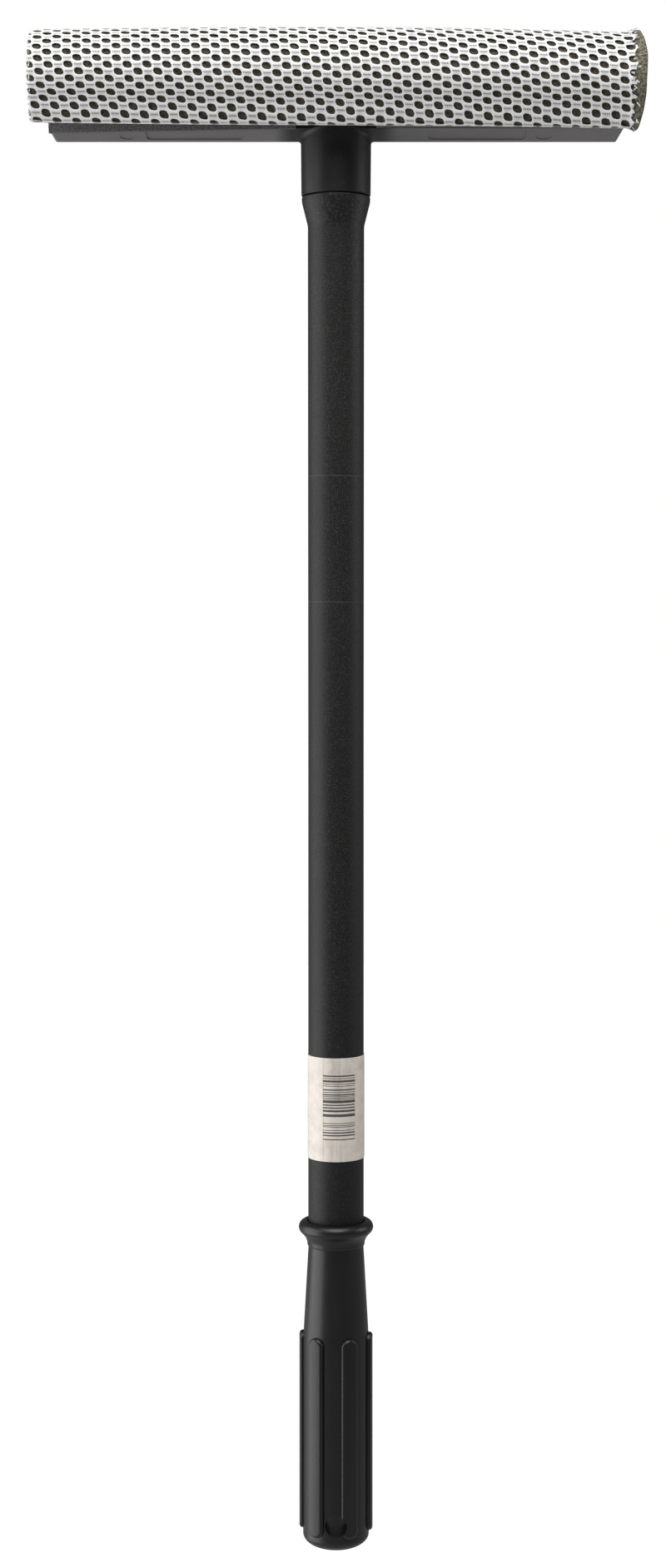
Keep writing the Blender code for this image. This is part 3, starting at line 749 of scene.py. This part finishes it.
# rubber blade, one strip from its clamped foot to its tip
def makeBlade():
    strip = {
        "halfLength": 112.0,
        "foot": 13.1,  # the clamped half, below the hinge
        "free": 17.4,
        "thick": 2.4,
        "tip": 1.5,  # thickness at the wiping edge
        "edge": 0.16,
        "steps": 14,
        "lean": 40.0,
    }
    size = (2 * strip["halfLength"] * mm, strip["thick"] * mm, strip["foot"] * mm)
    deselectAll()
    bpy.ops.mesh.primitive_cube_add(size=1, scale=size)
    blade = bpy.context.object
    blade.name = "wiperBlade"
    blade.location.z = -strip["foot"] / 2 * mm
    settle(blade)
    bpy.ops.object.mode_set(mode="EDIT")
    selectFaces(blade, lambda middle, normal: normal.z > 0.9)
    rise = strip["free"] / strip["steps"]
    thick = strip["thick"]
    for step in range(strip["steps"]):
        bpy.ops.mesh.extrude_region_move(TRANSFORM_OT_translate={"value": (0, 0, rise * mm)})
        goal = strip["thick"] + (strip["tip"] - strip["thick"]) * (step + 1) / strip["steps"]
        bpy.ops.transform.resize(value=(1, goal / thick, 1))
        thick = goal
    bpy.ops.object.mode_set(mode="OBJECT")
    corners = {"limit_method": "ANGLE", "angle_limit": math.radians(50)}
    applyStep(blade, "BEVEL", width=strip["edge"] * mm, segments=2, **corners)
    blade.rotation_euler.x = math.radians(-strip["lean"])
    blade.location = hingeAt
    settle(blade)
    closeUp(blade, 35)
    dress(blade, finishes["bladeRubber"])
    lean = math.radians(strip["lean"])
    up = Vector((0, math.sin(lean), math.cos(lean)))
    return blade, up


wiperBlade, bladeUp = makeBlade()
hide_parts("blade_root", "blade_lip")
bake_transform(wiperBlade)
print("blade made")


# sponge roll and its net
netLow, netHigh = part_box("sponge_net")
railLow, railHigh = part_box("sponge_rail")
roll = {
    "radius": (netHigh.z - netLow.z) / 2 / mm,
    "z": (netHigh.z + netLow.z) / 2 / mm,
    "halfLength": 118.0,
    "thickest": 0.09,  # where it is thickest, as a share of half its length
    "thinLeft": 0.044,
    "thinRight": 0.02346,
    "jaw": (13.0, 15.0),  # held beyond the first, behind the axis, and coming free over the second
    "flare": (0.13, 112.5, 6.5),  # the bare end swells once it is out of the net: share, start, run
    "slope": (0.968, 25.8),  # the front hangs straight: share of the radius, and degrees below level
    "underside": (1.0, 104.0),
    "cornerSharp": 10.0,
    "hangEnds": (60, 150),  # only pushed out before the first angle, and round again after the second
    "sagRight": 1.6,
}
roll["y"] = netLow.y / mm + roll["radius"]


def settleRoll(points):
    # the roll is a little thinner towards its ends and hangs lower at the +X end, points are in mm
    x, y, z = points.T
    across = x / roll["halfLength"]
    share = np.where(across < roll["thickest"], roll["thinLeft"], roll["thinRight"])
    jawStart, jawRun = roll["jaw"]
    free = np.clip((roll["y"] + jawStart - y) / jawRun, 0, 1)
    free = free * free * (3 - 2 * free)
    scale = 1 - share * (across - roll["thickest"]) ** 2 * free
    flare, flareStart, flareRun = roll["flare"]
    scale = scale + flare * np.clip((x - flareStart) / flareRun, 0, 1.1) ** 1.5 * free
    turn = np.degrees(np.arctan2(roll["z"] - z, roll["y"] - y))  # 0 at the front, 90 underneath
    reaches = []
    for far, middle in (roll["slope"], roll["underside"]):
        reaches.append(far / np.cos(np.radians(np.clip(turn - middle, -80, 80))))
    # the nearer of the two flats, with a soft corner where they meet
    sharp = roll["cornerSharp"]
    hang = -np.log(np.exp(-sharp * reaches[0]) + np.exp(-sharp * reaches[1])) / sharp
    pushedUntil, hangUntil = roll["hangEnds"]
    low = (turn > roll["slope"][1]) & (turn < hangUntil)
    hang = np.where(low, np.where(turn < pushedUntil, np.maximum(hang, 1), hang), 1)
    scale = scale * (1 + (hang - 1) * free)
    sag = roll["sagRight"] * np.clip((across + 0.2) / 1.15, 0, 1) ** 2 * free
    y = roll["y"] + (y - roll["y"]) * scale
    z = roll["z"] + (z - roll["z"]) * scale - sag
    return np.stack([x, y, z], axis=1)


def makeFoam():
    foam = {
        "voxel": 1.3,
        "lumps": (9, 0.44),  # their size and height
        "endFrom": (108.0, 11.0),
        "endCrown": (1.3, 2.2),  # how far the bare end bulges, and how much less at its top and foot
        "endRough": 0.2,
    }
    made = refineNode("spongeFoam", "sponge_foam", 0.0)
    applyStep(made, "REMESH", mode="VOXEL", voxel_size=foam["voxel"] * mm, use_smooth_shade=True)
    applyStep(made, "SMOOTH", factor=0.6, iterations=4)
    lumpSize, lumpHeight = foam["lumps"]
    clouds = bpy.data.textures.new("foamLumps", "CLOUDS")
    clouds.noise_scale = lumpSize * mm
    lumps = {"texture": clouds, "strength": lumpHeight * mm, "mid_level": 0.55, "texture_coords": "LOCAL"}
    applyStep(made, "DISPLACE", **lumps)
    # the bare end is cut a little out of true
    x, y, z = settleRoll(pointsOf(made)).T
    endStart, endRun = foam["endFrom"]
    end = np.clip((x - endStart) / endRun, 0, 1)
    bulge, drop = foam["endCrown"]
    rough = foam["endRough"] * np.sin(z / 3.0) + foam["endRough"] * np.cos(y / 4.0)
    x = x + end * (bulge - drop * ((z - roll["z"]) / 20) ** 2 + rough)
    setPoints(made, np.stack([x, y, z], axis=1))
    pickUp(made)
    bpy.ops.object.shade_smooth_by_angle(angle=math.radians(50))
    dress(made, finishes["foamOlive"])
    return made


spongeFoam = makeFoam()
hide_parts("sponge_foam")
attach(spongeFoam, "squeegee")
print("foam made")


def netSection():
    # the line the net follows, from the jaw over the rail, round the roll and back into the jaw
    seat = {
        "gap": 0.62,  # the net's distance from the rail
        "inset": 0.45,  # and from the outside of the roll's box
        "railWall": 2.4,
        "hem": 2.3,
        "lift": 15.2,
        "back": 0.4,
        "points": 260,
    }
    gap, wall = seat["gap"], seat["railWall"]
    radius = roll["radius"] - seat["inset"]
    wallFront, wallTop = railLow.y / mm, railHigh.z / mm
    wallRear, floor = wallFront + wall, wallTop - seat["hem"]
    front, back = wallFront - gap, netHigh.y / mm - seat["back"]
    start = -math.degrees(math.acos((wallFront - wall - roll["y"]) / radius))
    end = math.degrees(math.acos((back - roll["y"]) / radius)) - 360
    line = [(wallRear + gap, floor), (wallRear + gap, wallTop + gap), (front, wallTop + gap)]
    line += [(front, roll["z"] - seat["lift"])]
    line += roundCorner((roll["y"], roll["z"]), radius, start, end, seat["points"])
    line += [(back, floor)]
    return np.array(line)


netLine = netSection()
netLengths = np.concatenate([[0], np.cumsum(np.linalg.norm(np.diff(netLine, axis=0), axis=1))])
netTotal = netLengths[-1]
netNose = netLengths[np.argmin(netLine[:, 0])]  # the front of the roll
flatStart = netWeave["ends"][0] - netWeave["fold"][1]


def makeCell():
    # one cell of the net: a six-sided outline round a hole, drawn in by insets
    pitch, rowStep = netWeave["pitch"], netWeave["rowStep"]
    tip = (pitch ** 2 / 4 + rowStep ** 2) / pitch
    flat = tip - rowStep * 2 * rowStep / pitch
    corners = [(tip, 0), (flat, rowStep), (-flat, rowStep), (-tip, 0), (-flat, -rowStep), (flat, -rowStep)]
    splits = [3, 2, 3, 3, 2, 3]  # how many edges each side has
    outline = []
    for i, split in enumerate(splits):
        a, b = np.array(corners[i]), np.array(corners[(i + 1) % 6])
        outline += [a + (b - a) * k / split for k in range(split)]
    deselectAll()
    bpy.ops.mesh.primitive_circle_add(vertices=len(outline), radius=mm, fill_type="NGON")
    cell = bpy.context.object
    for vertex, (x, y) in zip(cell.data.vertices, outline):
        vertex.co = (x * mm, y * mm, 0)
    editAll(cell)
    cord = netWeave["cord"]
    for inset, lift in zip(netWeave["insets"], (cord, -0.4 * cord, -netWeave["wall"])):
        bpy.ops.mesh.inset(thickness=inset * mm)
        bpy.ops.transform.translate(value=(0, 0, lift * mm))
    bpy.ops.mesh.delete(type="ONLY_FACE")
    bpy.ops.object.mode_set(mode="OBJECT")
    # the three inner rings take the hole's own outline
    halfWide, halfHigh = netWeave["hole"]
    power = netWeave["squareness"]
    points = pointsOf(cell)
    for ring, grow in enumerate(netWeave["grow"], 1):
        for i, (x, y) in enumerate(outline):
            k = ring * len(outline) + i
            turn = math.atan2(y / rowStep, x / tip)
            c, s = math.cos(turn), math.sin(turn)
            reach = (abs(c) ** power + abs(s) ** power) ** (-1 / power)
            points[k, 0] = halfWide * grow * c * reach
            points[k, 1] = halfHigh * grow * s * reach - netWeave["tilt"] * points[k, 0]
    setPoints(cell, points)
    return cell


def raggedEnd(around):
    # how far past its mean end the net was cut, mm
    waves = [high * math.sin(around * rate + start) for high, rate, start in netWeave["ragged"]]
    return sum(waves) + netWeave["raggedMiddle"]


def weaveMap(item):
    # the map that the knitted pattern follows, in metres of the flat net
    layers = item.data.uv_layers
    layer = layers[0] if layers else layers.new(name="weave")
    layer.name = "weave"
    return layer


def weaveNet(cell):
    pitch, rowStep = netWeave["pitch"], netWeave["rowStep"]
    anchorX, anchorRound = netWeave["anchor"]
    xEnd = netWeave["ends"][1]
    # a second cell half a pitch along and one row up, then rows and columns
    pickUp(cell)
    bpy.ops.object.duplicate_move(TRANSFORM_OT_translate={"value": (pitch / 2 * mm, rowStep * mm, 0)})
    other = bpy.context.object
    net = joinAll([cell, other], "spongeNet")
    settle(net)
    columns = math.ceil((xEnd - flatStart + 12) / pitch) + 1
    rows = math.ceil((netTotal + 14) / rowStep / 2) + 1
    joined = {"use_merge_vertices": True, "merge_threshold": 0.01 * mm}
    placed = {"use_relative_offset": False, "use_constant_offset": True}
    for count, move in ((columns, (pitch * mm, 0, 0)), (rows, (0, 2 * rowStep * mm, 0))):
        applyStep(net, "ARRAY", count=count, constant_offset_displace=move, **placed, **joined)
    # a whole number of cells from the anchored hole, so that it lands on a hole
    acrossCells = math.ceil((anchorX - (flatStart - 4)) / pitch)
    aroundCells = math.ceil((netNose + anchorRound + 6) / (2 * rowStep))
    points = pointsOf(net)
    points[:, 0] += anchorX - acrossCells * pitch
    points[:, 1] += netNose + anchorRound - aroundCells * 2 * rowStep
    weave = points.copy()
    weave[:, 0] -= anchorX
    weave[:, 1] -= netNose + anchorRound
    # rows sink and columns lean
    sinkStart, sinkRun = netWeave["spread"]
    share = np.clip((points[:, 0] - sinkStart) / sinkRun, -0.1, 1.1)
    points[:, 1] -= netWeave["rowsDrop"] * share ** 2
    down = netNose - points[:, 1]
    curl, uncurl = netWeave["curl"]
    points[:, 0] += netWeave["lean"] * down + 0.5 * (curl - uncurl * share) * down ** 2
    for axis, (high, across, along) in enumerate(netWeave["wander"]):
        points[:, axis] += high * np.sin(points[:, 1 - axis] * across + points[:, axis] * along)
    setPoints(net, points)

    # the pattern's own map, laid before the sheet is cut
    loops = np.zeros(len(net.data.loops), dtype=int)
    net.data.loops.foreach_get("vertex_index", loops)
    flatPlaces = (weave[loops, :2] * mm).astype(np.float32)
    weaveMap(net).data.foreach_set("uv", flatPlaces.ravel())

    # hems and the folded end are cut straight, the bare end is left ragged
    editAll(net)
    hem = 0.3
    for place, normal in (
        ((0, hem * mm, 0), (0, -1, 0)),
        ((0, (netTotal - hem) * mm, 0), (0, 1, 0)),
        ((flatStart * mm, 0, 0), (-1, 0, 0)),
    ):
        bpy.ops.mesh.select_all(action="SELECT")
        bpy.ops.mesh.bisect(plane_co=place, plane_no=normal, clear_outer=True)
    selectFaces(net, lambda middle, normal: middle.x / mm > xEnd + raggedEnd(middle.y / mm))
    bpy.ops.mesh.delete(type="FACE")
    bpy.ops.object.mode_set(mode="OBJECT")
    return net


def wrapNet(points):
    # flat net to its place on the roll
    foldRadius, foldIn = netWeave["fold"]
    nearby = 0.4  # the line's direction is taken between two places this far either side
    around = np.clip(points[:, 1], 0, netTotal)
    ahead = np.clip(around + nearby, 0, netTotal)
    behind = np.clip(around - nearby, 0, netTotal)
    places, steps = [], []
    for column in netLine.T:
        places.append(np.interp(around, netLengths, column))
        steps.append(np.interp(ahead, netLengths, column) - np.interp(behind, netLengths, column))
    y, z = places
    dy, dz = steps
    length = np.hypot(dy, dz)
    outY, outZ = -dz / length, dy / length
    # past the foam's end the net turns in
    turnAt = netWeave["ends"][0] + foldRadius
    past = np.clip(turnAt - points[:, 0], 0, None)
    angle = np.clip(past / foldRadius, 0, math.pi / 2)
    onward = np.clip(past - foldRadius * math.pi / 2, 0, None)
    lift = points[:, 2]
    inward = foldRadius * (1 - np.cos(angle)) + onward - lift * np.cos(angle)
    x = np.where(past > 0, turnAt - foldRadius * np.sin(angle) - lift * np.sin(angle), points[:, 0])
    pucker, rate = netWeave["gather"]
    x = x - np.clip(onward / foldIn, 0, 1) * pucker * np.sin(around * rate)
    return np.stack([x, y - outY * inward, z - outZ * inward], axis=1)


spongeNet = weaveNet(makeCell())
setPoints(spongeNet, settleRoll(wrapNet(pointsOf(spongeNet))))
pickUp(spongeNet)
bpy.ops.object.shade_smooth()
dress(spongeNet, finishes["netYarn"])
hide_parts("sponge_net")
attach(spongeNet, "squeegee")
print("net made", len(spongeNet.data.polygons), "faces")


# loose yarn ends along the net's cut edge
def makeFrays():
    fray = {
        "count": 64,
        "radius": 0.28,
        "length": 0.9,
        "span": (4.0, 26.0),  # first yarn from the hem, and how much of the round has none
        "root": (-0.7, 0.05),  # where a yarn starts: past the cut, and above the net
        "reach": (0.4, 1.5),
        "yaw": 0.9,
        "bend": 0.35,
        "lift": 0.12,
        "seed": 11,
    }
    first, bare = fray["span"]
    rootX, rootZ = fray["root"]
    draw = random.Random(fray["seed"])
    deselectAll()
    bpy.ops.mesh.primitive_cylinder_add(vertices=7, radius=fray["radius"] * mm, depth=fray["length"] * mm)
    yarn = bpy.context.object
    yarn.rotation_euler.y = math.radians(90)
    yarn.location.x = fray["length"] / 2 * mm
    settle(yarn)
    editAll(yarn)
    bpy.ops.mesh.subdivide(number_cuts=1)
    bpy.ops.object.mode_set(mode="OBJECT")
    strands = []
    for number in range(fray["count"]):
        around = first + (netTotal - bare) * (number + draw.random()) / fray["count"]
        reach = draw.uniform(*fray["reach"])
        flatPlace = np.array([[netWeave["ends"][1] + raggedEnd(around) + rootX, around, rootZ]])
        yaw = draw.uniform(-fray["yaw"], fray["yaw"])
        made = yarn.copy()
        made.data = yarn.data.copy()
        bpy.context.collection.objects.link(made)
        x, y, z = (pointsOf(made) * [reach, 1, 1]).T
        bend = draw.uniform(-fray["bend"], fray["bend"])
        flatX = x * math.cos(yaw) - y * math.sin(yaw)
        flatY = x * math.sin(yaw) + y * math.cos(yaw) + bend * x ** 2
        flat = np.stack([flatX, flatY, z + fray["lift"] * x], axis=1)
        setPoints(made, settleRoll(wrapNet(flat + flatPlace)))
        strands.append(made)
    bpy.data.objects.remove(yarn)
    made = joinAll(strands, "netFrays")
    closeUp(made, 60)
    weaveMap(made)
    dress(made, finishes["netYarn"])
    return made


netFrays = makeFrays()
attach(netFrays, "squeegee")
print("frays made")


# camera, light and floor
studio = {
    "camera": (-0.0012, -0.999, 0.3695),
    "lens": 57.325,
    "sensor": 36,
    "shift": -0.10456,
    "sky": 0.15,  # what the sky lights with, though it is seen as plain white
    "floorSize": 12,
    "floorHeight": -0.6,  # the tool is held clear of it
    "floorGlow": 0.26,  # the floor is seen as white too, and lights with this
    "floorTones": ((0.28, 0.28, 0.28), (0.32, 0.32, 0.32)),
}

# power in watts, place, size, and the height aimed at
lamps = {
    "leftSoftbox": (16.5, (-1.02, -0.10, 0.22), (1.15, 1.7), 0.22),
    "rightSoftbox": (3.6, (1.10, 0.02, 0.66), (0.60, 0.80), 0.66),
    "topSoftbox": (13.0, (0.0, -0.45, 1.60), (1.2, 0.7), 0.58),
    "frontSoftbox": (11.0, (0.0, -1.10, 1.45), (1.3, 0.6), 0.56),
}


def makeSky():
    # a lightbox: white to look at, dim enough that the softboxes model the shapes
    world = bpy.data.worlds.new("lightboxSky")
    world.use_nodes = True
    tree = world.node_tree
    path = tree.nodes.new("ShaderNodeLightPath")
    strength = tree.nodes.new("ShaderNodeMapRange")
    strength.inputs["To Min"].default_value = studio["sky"]
    tree.links.new(path.outputs["Is Camera Ray"], strength.inputs["Value"])
    sky = tree.nodes["Background"]
    sky.inputs["Color"].default_value = (1, 1, 1, 1)
    tree.links.new(strength.outputs[0], sky.inputs["Strength"])
    bpy.context.scene.world = world


def makeStudio():
    deselectAll()
    bpy.ops.mesh.primitive_plane_add(size=studio["floorSize"])
    floor = bpy.context.object
    floor.name = "floor"
    floor.location.z = studio["floorHeight"]
    settle(floor)
    bench = Bench("floorPale", Specular_IOR_Level=0.0, Emission_Strength=1.0)
    haze = bench.noise(bench.place(), 1.2, 2.0)
    pale = bench.blendColour(haze, *studio["floorTones"])
    glow = [studio["floorGlow"]] * 3
    seen = bench.add("LightPath", output="Is Camera Ray")
    bench.feed(bench.shader.inputs["Emission Color"], bench.blendColour(seen, glow, (1, 1, 1)))
    floor.data.materials.append(bench.finish(pale, 0.95))
    for name, (power, place, size, aimHeight) in lamps.items():
        bpy.ops.object.light_add(type="AREA", location=place)
        lamp = bpy.context.object
        lamp.name = name
        lamp.data.energy = power
        lamp.data.shape = "RECTANGLE"
        lamp.data.size, lamp.data.size_y = size
        aim = Vector((0, 0, aimHeight)) - Vector(place)
        lamp.rotation_euler = aim.to_track_quat("-Z", "Y").to_euler()
    makeSky()
    bpy.context.scene.view_settings.view_transform = "Standard"
    bpy.ops.object.camera_add(location=studio["camera"], rotation=(math.radians(90), 0, 0))
    camera = bpy.context.object
    camera.data.lens = studio["lens"]
    camera.data.sensor_width = studio["sensor"]
    camera.data.shift_y = studio["shift"]
    bpy.context.scene.camera = camera


makeStudio()
print("studio ready")

bpy.context.view_layer.update()
